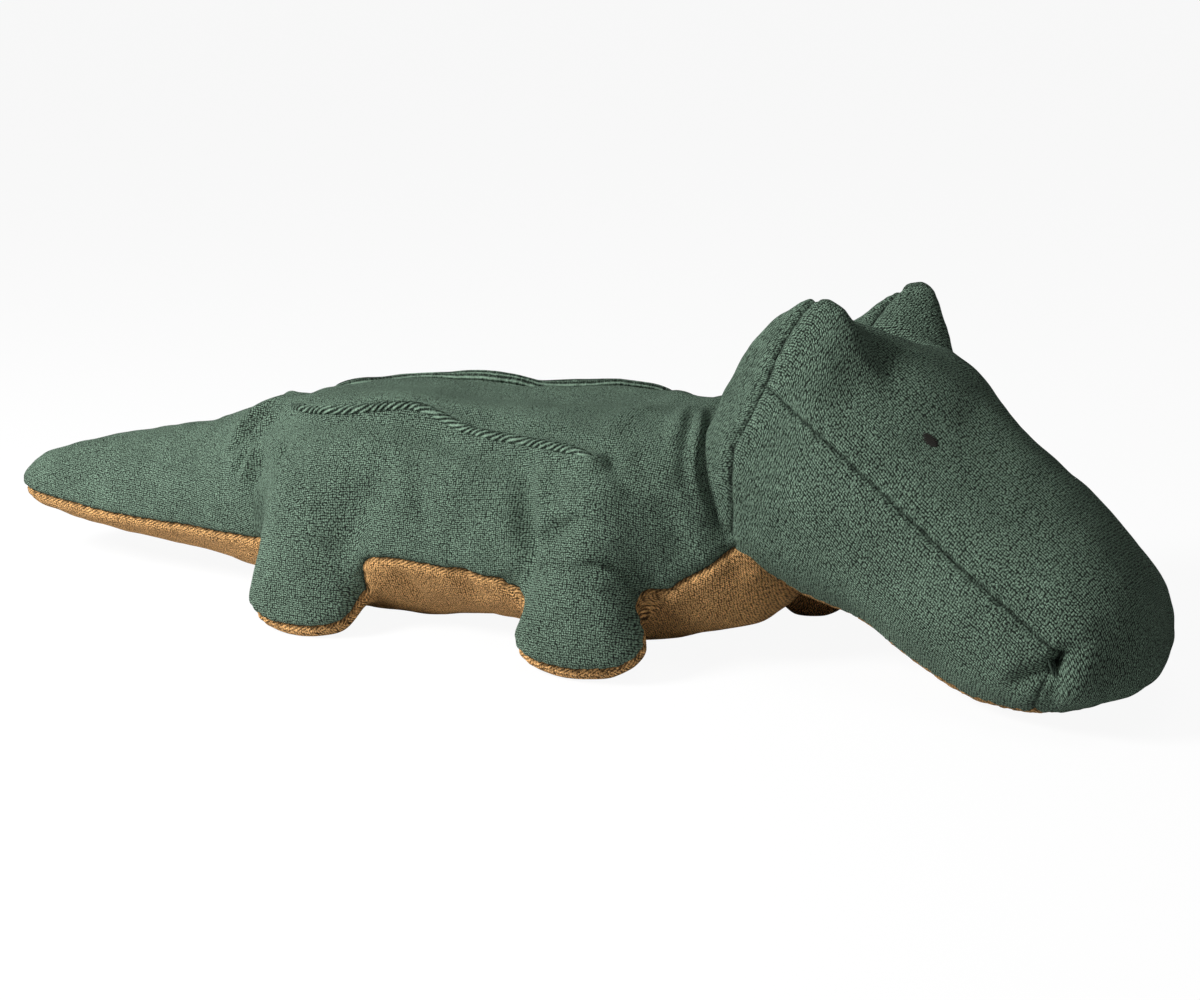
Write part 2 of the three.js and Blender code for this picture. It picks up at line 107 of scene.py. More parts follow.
# Head, in its own frame: s along it, v to its left, w up.
# Its shares are place along, width, widest level, crown and underside.
head_length, head_width, head_height = 187, 116, 118
head_start = -28
nape_round, nose_round = 28, 33
head_shares = [
    (0.00, 0.98, 0.11, 0.36, 0.59), (0.10, 1.00, 0.09, 0.40, 0.615),
    (0.24, 0.98, 0.055, 0.40, 0.61), (0.40, 0.90, 0.00, 0.335, 0.57),
    (0.56, 0.89, -0.045, 0.28, 0.565), (0.72, 0.91, -0.08, 0.22, 0.54),
    (0.86, 0.91, -0.115, 0.155, 0.43), (1.00, 0.86, -0.18, 0.09, 0.285)]
head_place = Vector((150.2, 9, 113.6))
head_turn = (Matrix.Rotation(math.radians(-14), 4, 'Z') @ Matrix.Rotation(math.radians(25), 4, 'Y')
             @ Matrix.Rotation(math.radians(-6), 4, 'X'))
head_matrix = Matrix.Translation(head_place * mm) @ head_turn

# The brow's dip and its two humps: place along, across, width, height, reach backwards and ahead.
# The nape seam: height and place.
brows = [(1, 15, 18, -22, 24, 24), (2, -48.5, 15, 26, 22, 22), (1, 46, 15, 31, 13, 22)]
eye_place = (65.8, 39.2)
nostril_place = nose_seam_place = 160
chin_edge_share = 0.92
nape_seam = [(-64, 16), (-43, 9.4), (-30, 2.7), (-17, -2.3), (9, -2.3), (60, -5.8)]


# Shapes

def at_stations(table, place):
    """A smooth row of values between given stations."""
    rows = np.array(table, float)
    places = rows[:, 0]
    k = int(np.clip(np.searchsorted(places, place) - 1, 0, len(rows) - 2))
    span = places[k + 1] - places[k]
    t = min(max((place - places[k]) / span, 0), 1)
    low, high = max(k - 1, 0), min(k + 2, len(rows) - 1)
    a, b = rows[k, 1:], rows[k + 1, 1:]
    p = (b - rows[low, 1:]) / (places[k + 1] - places[low]) * span
    q = (rows[high, 1:] - a) / (places[high] - places[k]) * span
    return a + t * (p + t * (3 * (b - a) - 2 * p - q + t * (2 * (a - b) + p + q)))


def read_off(table, place):
    """The value at a place, straight from station to station."""
    return np.interp(place, *zip(*table))


def measured(line):
    """A line of places as stations, each at its distance along the line."""
    line = np.array(line, float)
    lengths = np.concatenate([[0], np.cumsum(np.linalg.norm(np.diff(line, axis=0), axis=1))])
    return np.column_stack([lengths, line])


def rounded(distance, rounding, fullness=2.4):
    """How far a rounded end has opened, from 0 at its tip to 1."""
    share = min(max(1 - distance / rounding, 0), 1)
    return (1 - share ** fullness) ** (1 / fullness)


# Each section is its half width, its middle height, its rise above that and its fall below, and
# how square it is above and below, where 2 is an ellipse

def torso_section(x):
    width, top, bottom = at_stations(torso_shares, x / torso_length + 0.5)
    opening = rounded(min(x - torso_start, torso_end - x), torso_round)
    half = width * torso_width / 2 * opening
    return (half, torso_middle, (top * torso_height - torso_middle) * opening,
            (torso_middle - bottom * torso_height) * opening, 3.2, 2.1)


def tail_section(x):
    place = min(max((tail_root - x) / tail_length, 0), 1)
    width, height = at_stations(tail_shares, place)
    opening = rounded(x - tail_root + tail_length, tail_round)
    opening *= rounded(tail_root + tail_overlap - x, tail_round)
    middle = tail_root_lift + tail_height / 2
    middle += (tail_tip_lift - middle) * place ** 0.8
    half = height * tail_height / 2 * opening
    return width * tail_width / 2 * opening, middle, half, half, 2.2, 2.2


def leg_section(foot_width):
    def section(x):
        width, thickness = at_stations(leg_shares, x / leg_length)
        opening = rounded(min(x, leg_length - x), foot_width * 0.46)
        half = thickness * leg_thickness / 2 * opening
        return width * foot_width / 2 * opening, 0, half, half, 2.3, 2.3
    return section


def head_section(s):
    width, middle, crown, under = at_stations(head_shares, s / head_length)
    opening = rounded(s - head_start, nape_round, 3) * rounded(head_length - s, nose_round)
    centre = (crown - under) / 2 * head_height
    level = centre + (middle * head_height - centre) * opening
    top = centre + (crown * head_height - centre) * opening
    bottom = centre + (-under * head_height - centre) * opening
    # The underside is squarer at the back of the head
    jowl = 3 + 2 * min(max((35 - s) / 40, 0), 1)
    return width * head_width / 2 * opening, level, top - level, level - bottom, 2.3, jowl


def brow_lift(s, v):
    """How far the brow lifts the crown."""
    lift = 0
    for place, across, width, height, behind, ahead in brows:
        reach = np.where(s < place, behind, ahead)
        lift = lift + height * np.exp(-((s - place) / reach) ** 2 - ((v - across) / width) ** 2)
    return lift


def stuffed_form(section, start, end, rings, sides, lift=None, place=None):
    """A ball drawn out along x and shaped by its sections."""
    bm = bmesh.new()
    bmesh.ops.create_uvsphere(bm, u_segments=sides, v_segments=rings, radius=1)
    known = {}
    for vert in bm.verts:
        # All corners of a ring have one section
        key = round(vert.co.z, 5)
        x = start + (end - start) * (1 + vert.co.z) / 2
        if key not in known:
            known[key] = section(min(max(x, start), end))
        half, middle, above, below, crown, keel = known[key]
        angle = math.atan2(vert.co.y, vert.co.x)
        out, climb = math.cos(angle), math.sin(angle)
        fullness, rise = (crown, above) if climb > 0 else (keel, below)
        across = math.copysign(abs(out) ** (2 / fullness), out) * half
        up = math.copysign(abs(climb) ** (2 / fullness), climb) * rise
        if abs(vert.co.z) > 0.99999:
            across = up = 0
        z = middle + up
        if lift and up > 0:
            z += lift(x, across)
        vert.co = Vector((x, across, z))
    if place:
        bmesh.ops.transform(bm, matrix=place, verts=bm.verts)
    bmesh.ops.recalc_face_normals(bm, faces=bm.faces)
    return bm


def leg_placement(leg, lift=0):
    """Takes a leg's own x down to its toe, y across the foot and z out of the animal's side."""
    share, side, _, splay, swing = leg
    splay, swing = math.radians(splay), math.radians(swing)
    down = Vector((math.sin(swing) * math.cos(splay), side * math.sin(splay),
                   -math.cos(swing) * math.cos(splay)))
    across = Vector((math.cos(swing), 0, math.sin(swing))) * -side
    out = down.cross(across)
    half = torso_section(share * torso_length)[0]
    root = Vector((share * torso_length, side * 0.62 * half, leg_root_height + lift))
    return Matrix.Translation(root) @ Matrix((down, across, out)).transposed().to_4x4()


def leg_form(leg):
    """A leg standing on the floor, and its placement."""
    form = stuffed_form(leg_section(leg[2]), 0, leg_length, 32, 40, place=leg_placement(leg))
    lift = -toe_press - min(vert.co.z for vert in form.verts)
    bmesh.ops.translate(form, vec=(0, 0, lift), verts=form.verts)
    return form, leg_placement(leg, lift)


def linked(name, data):
    """A new object in the scene."""
    thing = bpy.data.objects.new(name, data)
    bpy.context.collection.objects.link(thing)
    return thing


def new_piece(name, bm):
    """A smooth piece made from a form."""
    for face in bm.faces:
        face.smooth = True
    mesh = bpy.data.meshes.new(name)
    bm.to_mesh(mesh)
    bm.free()
    return linked(name, mesh)


def joined(name, forms):
    """One object, in metres, from several millimetre forms."""
    mesh = bpy.data.meshes.new(name)
    whole = bmesh.new()
    for form in forms:
        part = bpy.data.meshes.new("form")
        form.to_mesh(part)
        whole.from_mesh(part)
        bpy.data.meshes.remove(part)
        form.free()
    bmesh.ops.scale(whole, vec=(mm, mm, mm), verts=whole.verts)
    whole.to_mesh(mesh)
    whole.free()
    return linked(name, mesh)


def settled(piece):
    """Makes the modifiers of a piece part of its mesh."""
    shape = piece.evaluated_get(bpy.context.evaluated_depsgraph_get())
    mesh = bpy.data.meshes.new_from_object(shape)
    piece.modifiers.clear()
    old, piece.data = piece.data, mesh
    bpy.data.meshes.remove(old)


def corners(mesh):
    """The corners of a mesh as an array, in metres."""
    places = np.empty(len(mesh.vertices) * 3)
    mesh.vertices.foreach_get("co", places)
    return places.reshape(-1, 3)


def set_corners(mesh, places):
    mesh.vertices.foreach_set("co", places.ravel())
    mesh.update()


def filled_inside(name, skin, sculpt):
    """The filling of a skin: the same form, folds and all, a few millimetres inside it."""
    filling = linked(name, skin.data.copy())
    refine = filling.modifiers.new("refine", 'SUBSURF')
    refine.levels = refine.render_levels = 1
    settled(filling)
    places = corners(filling.data)
    out = np.empty(places.size)
    filling.data.vertices.foreach_get("normal", out)
    far = np.full(len(places), 90.0)
    offset = np.minimum(sculpt(places / mm, far, far), 0) * 1.1 - filling_inset
    set_corners(filling.data, places + out.reshape(-1, 3) * offset[:, None] * mm)
    return filling


def stuffed(piece, filling_name, sculpt, voxel, relax):
    """Reweaves a skin, fills it under pressure and smooths it; its filling is returned."""
    remesh = piece.modifiers.new("weave", 'REMESH')
    remesh.mode = 'VOXEL'
    remesh.voxel_size = voxel * mm
    smooth = piece.modifiers.new("ease", 'SMOOTH')
    smooth.factor = 0.5
    smooth.iterations = relax
    settled(piece)
    start = corners(piece.data)
    cloth = piece.modifiers.new("fill", 'CLOTH')
    settings = cloth.settings
    settings.quality = 5
    settings.mass = 0.25
    settings.tension_stiffness = settings.compression_stiffness = 12
    settings.shear_stiffness = 5
    settings.bending_stiffness = 0.6
    settings.use_pressure = True
    settings.uniform_pressure_force = filling_pressure
    settings.effector_weights.gravity = 0
    cloth.collision_settings.use_collision = False
    cloth.point_cache.frame_start = 1
    cloth.point_cache.frame_end = filling_steps
    for step in range(1, filling_steps + 1):
        bpy.context.scene.frame_set(step)
    settled(piece)
    bpy.context.scene.frame_set(1)
    move = corners(piece.data) - start
    reach = np.linalg.norm(move, axis=1, keepdims=True) + 1e-12
    move *= np.minimum(1, swell_cap * mm / reach)
    set_corners(piece.data, start + move)
    filling = filled_inside(filling_name, piece, sculpt)
    refine = piece.modifiers.new("refine", 'SUBSURF')
    refine.levels = refine.render_levels = 2
    settled(piece)
    return filling


leg_forms = [leg_form(leg) for leg in legs]
leg_inverses = [np.array(placement.inverted()) for _, placement in leg_forms]


def in_leg(places, inverse):
    """Places in a leg's own frame: below its root, aside, and out of the animal's side."""
    return places @ inverse[:3, :3].T + inverse[:3, 3]


# Panels and seams

def cut_along(bm, level):
    """Cuts new edges where the level of a place is zero, through corners that lie close to it."""
    close = 0.12
    values = level(np.array([vert.co for vert in bm.verts]) / mm)
    values[np.abs(values) < close] = 0
    known = dict(zip(bm.verts, values))
    for edge in list(bm.edges):
        a, b = edge.verts
        if known[a] * known[b] < 0:
            fresh = bmesh.utils.edge_split(edge, a, known[a] / (known[a] - known[b]))[1]
            known[fresh] = 0
    bmesh.ops.connect_verts(bm, verts=[vert for vert in bm.verts if known[vert] == 0])


def seam_runs(bm, panel):
    """The corners on the seams, how far along its seam each one lies, and its neighbours there."""
    seam = [edge for edge in bm.edges if len(edge.link_faces) == 2
            and panel[edge.link_faces[0].index] != panel[edge.link_faces[1].index]]
    beside = {}
    for edge in seam:
        a, b = edge.verts
        beside.setdefault(a, []).append(b)
        beside.setdefault(b, []).append(a)
    run = {}
    ends = sorted(beside, key=lambda vert: (len(beside[vert]) == 2, vert.index))
    for first in ends:
        if first in run:
            continue
        run[first] = 0.0
        queue = [first]
        while queue:
            here = queue.pop()
            for other in beside[here]:
                if other not in run:
                    run[other] = run[here] + (other.co - here.co).length / mm
                    queue.append(other)
    order = {vert: k for k, vert in enumerate(run)}
    knots = np.array([vert.co for vert in run]) / mm
    # A corner has one to three neighbours, which are repeated to make a row of three
    links = [([order[other] for other in beside[vert]] * 3)[:3] for vert in run]
    return knots, np.array(list(run.values())), np.array(links)


def smoothest(a, b, blend):
    """The larger of two values, rounded where they meet."""
    h = np.clip(0.5 + 0.5 * (a - b) / blend, 0, 1)
    return b + (a - b) * h + blend * h * (1 - h)


def body_seam_height(x):
    """How high the seam between back and belly runs along the flank."""
    stations = [
        (-282, 37.5), (-200, 32), (-118, 33), (-60, 37), (-31, 40), (-7, 39.5), (19, 37), (45, 39),
        (75, 36), (99, 38), (118, 49), (133, 58), (150, 62)]
    return read_off(stations, x)


def body_level(places):
    """Above zero on the green back, below on the tan belly and under the legs."""
    level = places[:, 2] - body_seam_height(places[:, 0])
    for leg, inverse in zip(legs, leg_inverses):
        # The outer side of a leg is green, and towards the toe the tan comes round it
        below, aside, out = in_leg(places, inverse).T
        toe = np.clip((below - 0.72 * leg_length) / (0.26 * leg_length), 0, 1)
        outer = np.minimum(out + 1.5 - 15 * toe ** 2, leg[2] / 2 + 4 - np.abs(aside))
        level = smoothest(level, np.minimum(outer, below + 20), 7)
    return level


def head_levels(places):
    """For each seam of the head, above zero in front of it or over it; and how far to the left."""
    s, v, w = places.T
    stations, _, middle, _, under = np.array(head_shares).T
    crown = np.interp(s / head_length, stations, middle) * head_height
    chin = -np.interp(s / head_length, stations, under) * head_height * chin_edge_share
    return {"nape": s - read_off(nape_seam, w), "crown": w - crown, "chin": w - chin,
            "nose": s - nose_seam_place, "side": v}


def body_panel(places):
    """0 back, 1 belly."""
    return (body_level(places) < 0).astype(int)


def head_panel(places):
    """0 nape, 1 crown, 2 right cheek, 3 left cheek, 4 chin."""
    levels = head_levels(places)
    cheek = np.where(levels["side"] < 0, 2, 3)
    upper = np.where((levels["crown"] > 0) | (levels["nose"] > 0), 1, cheek)
    front = np.where(levels["chin"] > 0, upper, 4)
    return np.where(levels["nape"] < 0, 0, front)


def line_distance(places, line):
    """Distance of each place to a line of points, and the share along it of the nearest point."""
    line = np.array(line, float)
    best = np.full(len(places), 1e9)
    along = np.zeros(len(places))
    lengths = np.linalg.norm(np.diff(line, axis=0), axis=1)
    total = lengths.sum()
    for k, (a, b) in enumerate(zip(line[:-1], line[1:])):
        t = np.clip((places - a) @ (b - a) / max(lengths[k] ** 2, 1e-9), 0, 1)
        gap = np.linalg.norm(places - a - t[:, None] * (b - a), axis=1)
        nearer = gap < best
        best[nearer] = gap[nearer]
        along[nearer] = (lengths[:k].sum() + t[nearer] * lengths[k]) / total
    return best, along


def search_tree(places):
    """Finds the nearest of some places."""
    tree = kdtree.KDTree(len(places))
    for k, place in enumerate(places):
        tree.insert(place, k)
    tree.balance()
    return tree


def laid_on(tree, line):
    """A smooth line through some places, each of its steps on the nearest corner of the surface."""
    table = measured(line)
    whole = table[-1, 0]
    steps = max(4, int(whole / fold_step))
    return np.array([tree.find(at_stations(table, length))[0]
                     for length in np.linspace(0, whole, steps)])


def folded(places, folds):
    """Ridges, and valleys where the rise is negative, that fade out at both ends of their lines."""
    tree = search_tree(places)
    total = np.zeros(len(places))
    for line, rise, width in folds:
        line = laid_on(tree, line)
        low, high = line.min(axis=0) - 3 * width, line.max(axis=0) + 3 * width
        near = np.all((places > low) & (places < high), axis=1)
        gap, along = line_distance(places[near], line)
        fade = np.sin(np.pi * np.clip(along * 0.92 + 0.04, 0, 1)) ** 0.7
        total[near] += rise * np.exp(-(gap / width) ** 2) * fade
    return total


def soft_noise(places, size, seed):
    """Smooth noise from a few crossed waves."""
    rng = np.random.default_rng(seed)
    total = np.zeros(len(places))
    for _ in range(9):
        direction = rng.normal(size=3)
        direction /= np.linalg.norm(direction)
        length = size * rng.uniform(0.7, 1.4)
        total += np.sin(places @ direction * 2 * np.pi / length + rng.uniform(0, 6.28))
    return total / 3


# Folds in the cloth: each a line of places, how far it stands out, and half its width.
# Those of the sides are set out on the right, and the left has them fainter and farther forward.
side_folds = [
    ([(-118, -3, 96), (-125, -8, 92), (-130, -15, 87), (-133, -22, 80), (-133, -28, 73)], 3.4, 3.4),
    ([(-99, -26, 98), (-110, -19, 92), (-117, -22, 86), (-123, -25, 80), (-127, -30, 74),
      (-129, -32, 68)], 3.2, 3.4),
    ([(-108, -14, 97), (-118, -15, 91), (-123, -20, 85), (-126, -25, 79), (-129, -30, 73)], -4.0, 3.2),
    ([(-116, -30, 78), (-119, -32, 74), (-121, -35, 67), (-123, -36, 61)], 2.4, 3.0),
    ([(-121, -28, 79), (-124, -34, 69), (-125, -35, 63)], -3.0, 3.0),
    ([(-110, -34, 76), (-114, -36, 65), (-117, -38, 58)], -3.6, 4),
    ([(-96, -42, 84), (-94, -46, 73)], -4.2, 3.6),
    ([(-86, -45, 88), (-88, -48, 80), (-93, -49, 71)], 1.6, 4),
    ([(-60, -56, 84), (-66, -66, 62), (-66, -66, 40)], 2.6, 15),
    ([(-30, -52, 90), (-36, -62, 74), (-46, -66, 56), (-52, -64, 42)], -3.4, 9),
    ([(-20, -52, 90), (-18, -58, 83), (-16, -63, 74), (-13, -66, 64), (-10, -67, 55)], -3.0, 6),
    ([(6, -48, 94), (2, -62, 78), (0, -67, 58)], 1.6, 8),
    ([(33, -57, 91), (36, -62, 84), (38, -66, 76), (39, -69, 68), (40, -71, 60), (42, -69, 47),
      (43, -64, 38)], -7.0, 6.5),
    ([(45, -58, 91), (47, -66, 80), (49, -71, 69), (50, -71, 56), (49, -70, 46)], 4.0, 6),
    ([(49, -71, 57), (56, -73, 66), (67, -73, 71), (77, -72, 71), (84, -71, 69)], -2.8, 3.4),
    ([(50, -71, 66), (58, -72, 74), (70, -72, 78), (82, -70, 76)], 1.4, 4.5),
    ([(67, -75, 51), (75, -75, 53), (83, -73, 52), (90, -70, 48), (96, -68, 43)], -2.6, 2.4),
    ([(66, -76, 46), (76, -76, 47), (88, -73, 44), (95, -69, 38)], 1.6, 3.2),
    ([(94, -68, 46), (98, -65, 38), (99, -59, 30), (100, -55, 22), (98, -46, 14)], -8.0, 6.5),
    ([(79, -6, 111), (75, -20, 111), (72, -32, 108), (73, -47, 102), (73, -54, 98)], 2.4, 6),
    ([(75, -52, 100), (80, -59, 95), (85, -64, 90)], -2.6, 3.2),
    ([(81, -54, 99), (87, -61, 93), (95, -64, 86), (102, -63, 80)], 2.2, 4.5),
    ([(77, -53, 98), (86, -60, 92), (95, -63, 84), (102, -63, 77), (109, -61, 69),
      (118, -57, 60)], -5.6, 9),
    ([(66, -63, 87), (75, -70, 76), (81, -72, 64), (85, -71, 52)], 3.2, 9),
    ([(102, -8, 111), (105, -20, 110), (111, -40, 104), (112, -48, 97), (115, -53, 90),
      (118, -55, 82), (122, -55, 73)], 2.8, 2.8),
    ([(106, 1, 111), (114, -37, 105), (116, -47, 97), (120, -53, 87), (125, -53, 77),
      (128, -53, 69)], -3.4, 3),
    ([(97, 0, 111), (97, -16, 110), (99, -35, 106), (102, -48, 101)], 2.4, 4),
    ([(101, -15, 110), (106, -41, 104), (108, -51, 97), (111, -56, 88)], -1.5, 3),
    ([(-27, -63, 36), (-23, -56, 24), (-18, -47, 14)], -2.9, 5),
    ([(36, -72, 33), (37, -67, 21), (40, -62, 12)], -4.2, 7),
    ([(3, -65, 41), (8, -61, 30), (13, -55, 18)], -2.6, 5),
    ([(27, -66, 40), (34, -64, 29), (38, -58, 20)], -2.2, 5)]
neck_line = [
    (114, 44, 99), (120, 52, 87), (127, 53, 74), (131, 52, 64), (131, 46, 54), (128, 38, 44)]
ridge_folds = [
    ([(-85, 4, 104), (-40, 4, 110), (0, 4, 110), (50, 4, 111), (90, 4, 111)], -4.2, 20),
    ([(x, -y, z) for x, y, z in neck_line], -7.5, 11),
    (neck_line, -6, 11),
    ([(-118, -4, 97), (-117, 8, 98), (-116, 22, 96)], 0.5, 4.5),
    ([(-104, -8, 99), (-102, 12, 100)], -2.2, 5),
    ([(40, -12, 106), (30, 10, 107), (26, 30, 106)], -1.8, 9),
    ([(70, 58, 101), (92, 55, 101), (114, 44, 103)], 2.6, 4),
    ([(-20, -20, 3), (10, -20, 1), (22, 0, 1), (10, 20, 1), (-20, 20, 3)], -3.4, 22),
    ([(112, -34, 6), (122, 0, 8), (112, 34, 6)], -3.0, 16)]
body_folds = ridge_folds + [
    ([(x + farther, -side * y, z) for x, y, z in line], rise * share, width)
    for line, rise, width in side_folds for side, farther, share in ((-1, 0, 1), (1, 6, 0.8))]

# Folds of the head, in its own frame: those on both sides, then those on one side only
head_side_folds = [
    ([(12, -20, 52), (23, -31, 48), (32, -35, 44), (44, -38, 38)], -1.2, 4),
    ([(15, -48, 50), (24, -45, 44), (38, -43, 38)], 1.4, 6),
    ([(161, -49, -10), (160, -49, -16), (160, -48, -22)], -6.5, 4.2),
    ([(160, -49, -15), (156, -50, -24), (150, -50, -33)], -3.6, 3.4),
    ([(161, -49, -18), (164, -46, -28), (163, -41, -40)], -2.4, 3.2),
    ([(148, -53, -17), (145, -53, -28), (142, -50, -38)], 2.2, 6),
    ([(169, -48, -8), (171, -46, -20), (171, -42, -32)], 2.6, 6),
    ([(157, -50, -15), (147, -54, -14), (140, -55, -12)], -0.9, 2),
    ([(156, -50, -18), (146, -54, -19), (138, -55, -20)], -0.8, 2),
    ([(162, -49, -11), (164, -46, -2), (168, -42, 4)], -0.5, 3),
    ([(150, -52, -6), (158, -48, -1), (166, -42, 5)], 1.0, 5),
    ([(60, -54, -10), (80, -55, -30), (96, -54, -46)], -1.0, 11),
    ([(20, -57, -10), (34, -57, -34), (48, -54, -54)], -0.9, 9)]
head_folds = [
    ([(x, -side * y, z) for x, y, z in line], rise, width)
    for line, rise, width in head_side_folds for side in (-1, 1)] + [
    ([(185, -36, -22), (187, -12, -14), (186, 10, -22)], 3.6, 12),
    ([(179, 8, 4), (176, 16, 5), (172, 28, 5)], -2.5, 9),
    ([(112, 16, 31), (130, 18, 27), (150, 22, 18)], 1.2, 14),
    ([(36, 20, 46), (60, 18, 44), (84, 16, 40)], 1.6, 12),
    ([(-20, -47, -4), (-20, -45, 11), (-18, -43, 26)], 0.8, 12)]


def between_rows(table, i, j):
    """Values of a table between its rows and columns."""
    a, b = i.astype(int), j.astype(int)
    p, q = i - a, j - b
    return ((1 - p) * ((1 - q) * table[a, b] + q * table[a, b + 1])
            + p * ((1 - q) * table[a + 1, b] + q * table[a + 1, b + 1]))


def cloth_grid(section, start, end, places, lift=None):
    """How far round a form each place lies on the cloth: by its angle, or across the humps."""
    stations = np.linspace(start, end, 70)
    turns = np.linspace(0, math.pi, 60)
    angles = np.linspace(0, math.pi, 121)
    upper = len(angles) // 2 + 1
    up = np.cos(angles)
    arcs = np.empty((len(stations), len(turns)))
    flats = np.empty_like(arcs)
    halves = np.empty(len(stations))
    middles = np.empty(len(stations))
    for k, x in enumerate(stations):
        half, middle, above, below, crown, keel = section(min(max(x, start + 3), end - 3))
        power = 2 / np.where(up > 0, crown, keel)
        across = np.abs(np.sin(angles)) ** power * half
        height = np.sign(up) * np.abs(up) ** power * np.where(up > 0, above, below)
        if lift:
            height = np.where(up > 0, height + lift(x, across) * np.clip(height / 15, 0, 1), height)
        arc = np.concatenate([[0], np.cumsum(np.hypot(np.diff(across), np.diff(height)))])
        arcs[k] = np.interp(turns, np.arctan2(across, height), arc)
        flats[k] = np.interp(np.linspace(0, half, len(turns)), across[:upper], arc[:upper])
        halves[k], middles[k] = half, middle
    x, y, z = places.T
    level = np.interp(x, stations, middles)
    last = len(turns) - 1.001
    i = np.clip((x - start) / (end - start) * (len(stations) - 1), 0, len(stations) - 1.001)
    j = np.clip(np.arctan2(np.abs(y), z - level) / math.pi * (len(turns) - 1), 0, last)
    arc = between_rows(arcs, i, j)
    if lift:
        out = np.abs(y) / np.interp(x, stations, halves)
        flat = between_rows(flats, i, np.clip(out, 0, 1) * last)
        share = np.clip((out - 0.72) / 0.2, 0, 1)
        arc = np.where(z > level, flat + (arc - flat) * share, arc)
    return arc * np.sign(y)


def body_grid(places):
    """Where each place of the body lies on its cloth: round it, and along it."""
    merging = 45
    over_tail = cloth_grid(tail_section, tail_root - tail_length, tail_root + tail_overlap, places)
    over_torso = cloth_grid(torso_section, torso_start, torso_end, places)
    share = np.clip((places[:, 0] - torso_start) / merging, 0, 1)
    row = over_tail + (over_torso - over_tail) * share
    for leg, inverse in zip(legs, leg_inverses):
        # On a leg the rows go across it, and from just below its root they join the body's
        below, aside, out = in_leg(places, inverse).T
        on_leg = np.clip((below - 18) / 22, 0, 1)
        on_leg *= np.clip((leg[2] / 2 + 9 - np.abs(aside)) / 7, 0, 1)
        on_leg *= np.clip((out + 26) / 8, 0, 1)
        joint = (on_leg > 0.2) & (on_leg < 0.8)
        down = leg[1] * below
        down += np.median((row - down)[joint])
        row += (down - row) * on_leg
    return row, places[:, 0]


def head_grid(places):
    """Where each place of the head lies on its cloth: round it, and along it over both ends."""
    s, v, w = places.T
    left, right = [
        cloth_grid(head_section, head_start, head_length, places,
                   lambda s, v, side=side: brow_lift(s, side * v)) for side in (1, -1)]
    # Over a rounded end the cloth goes on towards the middle of the end
    reach, run = 46, 24
    middle = np.interp(s, [head_start, head_length], [12, -20])
    at_nose = np.clip((s - head_length + run) / run, 0, 1)
    at_nape = np.clip((head_start + run - s) / run, 0, 1)
    along = s + (at_nose - at_nape) * np.clip(reach - np.hypot(v, w - middle), 0, None)
    return np.where(v > 0, left, right), along


def nearest_on_seam(places, knots, runs, beside):
    """How far each place is from the nearest seam, and how far along the seam that is."""
    tree = search_tree(knots)
    near = np.array([tree.find(place)[1] for place in places])
    start, start_run = knots[near], runs[near]
    gap, run = np.full(len(places), 1e9), start_run.copy()
    for other in beside[near].T:
        span = knots[other] - start
        t = ((places - start) * span).sum(axis=1) / np.maximum((span ** 2).sum(axis=1), 1e-9)
        t = np.clip(t, 0, 1)
        reach = np.linalg.norm(places - start - t[:, None] * span, axis=1)
        closer = reach < gap
        gap[closer] = reach[closer]
        run[closer] = (start_run + t * (runs[other] - start_run))[closer]
    return gap, run


def panelled(piece, cuts, panel_of, sculpt, grid, loop, names):
    """Cuts a skin into its panels, draws the seams in, and makes a piece of each panel."""
    bm = bmesh.new()
    bm.from_mesh(piece.data)
    for cut in cuts:
        cut_along(bm, cut)
    bm.verts.index_update()
    bm.faces.index_update()
    middles = np.array([face.calc_center_median() for face in bm.faces]) / mm
    panel = panel_of(middles)
    knots, runs, beside = seam_runs(bm, panel)
    bm.normal_update()
    places = np.array([vert.co for vert in bm.verts]) / mm
    normals = np.array([vert.normal for vert in bm.verts])
    gap, seam_run = nearest_on_seam(places, knots, runs, beside)
    moved = places + normals * sculpt(places, gap, seam_run)[:, None]
    for vert, place in zip(bm.verts, moved):
        vert.co = Vector(place) * mm
    row, along = grid(places)
    facts = {"seam_gap": gap, "seam_run": seam_run, "cloth_row": row / loop,
             "cloth_along": along / loop, "ruffle": np.ones(len(places))}
    layers = {name: bm.verts.layers.float.new(name) for name in facts}
    for name, layer in layers.items():
        for vert, value in zip(bm.verts, facts[name]):
            vert[layer] = value
    pieces = []
    for number, name in enumerate(names):
        part = bm.copy()
        part.faces.ensure_lookup_table()
        others = [part.faces[k] for k in np.nonzero(panel != number)[0]]
        bmesh.ops.delete(part, geom=others, context='FACES')
        pieces.append(new_piece(name, part))
    bm.free()
    bpy.data.objects.remove(piece)
    return pieces


def seam_draw(gap, run):
    """Stitching pulls the cloth in along a seam, and puckers it beside it."""
    pucker_length = 6.5
    crease = -1.4 * np.exp(-(gap / 1.4) ** 2)
    bulge = 0.6 * np.exp(-((gap - 5) / 3.2) ** 2)
    pucker = 0.35 * np.sin(run * 2 * np.pi / pucker_length + 0.9 * np.sin(run / 11))
    return crease + bulge + pucker * np.exp(-((gap - 2.6) / 2.2) ** 2)


def tuck_rise(side, x):
    """How far a tuck stands out of the back."""
    return read_off(tuck_rises[side], x)


def beside_tucks(places):
    """The back is drawn up under each tuck and in beside it."""
    in_cord = 1.4
    shape = np.zeros(len(places))
    for side in (-1, 1):
        gap = line_distance(places[:, :2], np.array(tuck_line) * [1, -side])[0]
        shape += (tuck_rise(side, places[:, 0]) - in_cord) * np.exp(-(gap / 3) ** 2)
        depth, distance, width = tuck_valleys[side]
        shape -= depth * np.exp(-((gap - distance) / width) ** 2)
    return shape * np.clip((places[:, 2] - 62) / 20, 0, 1)


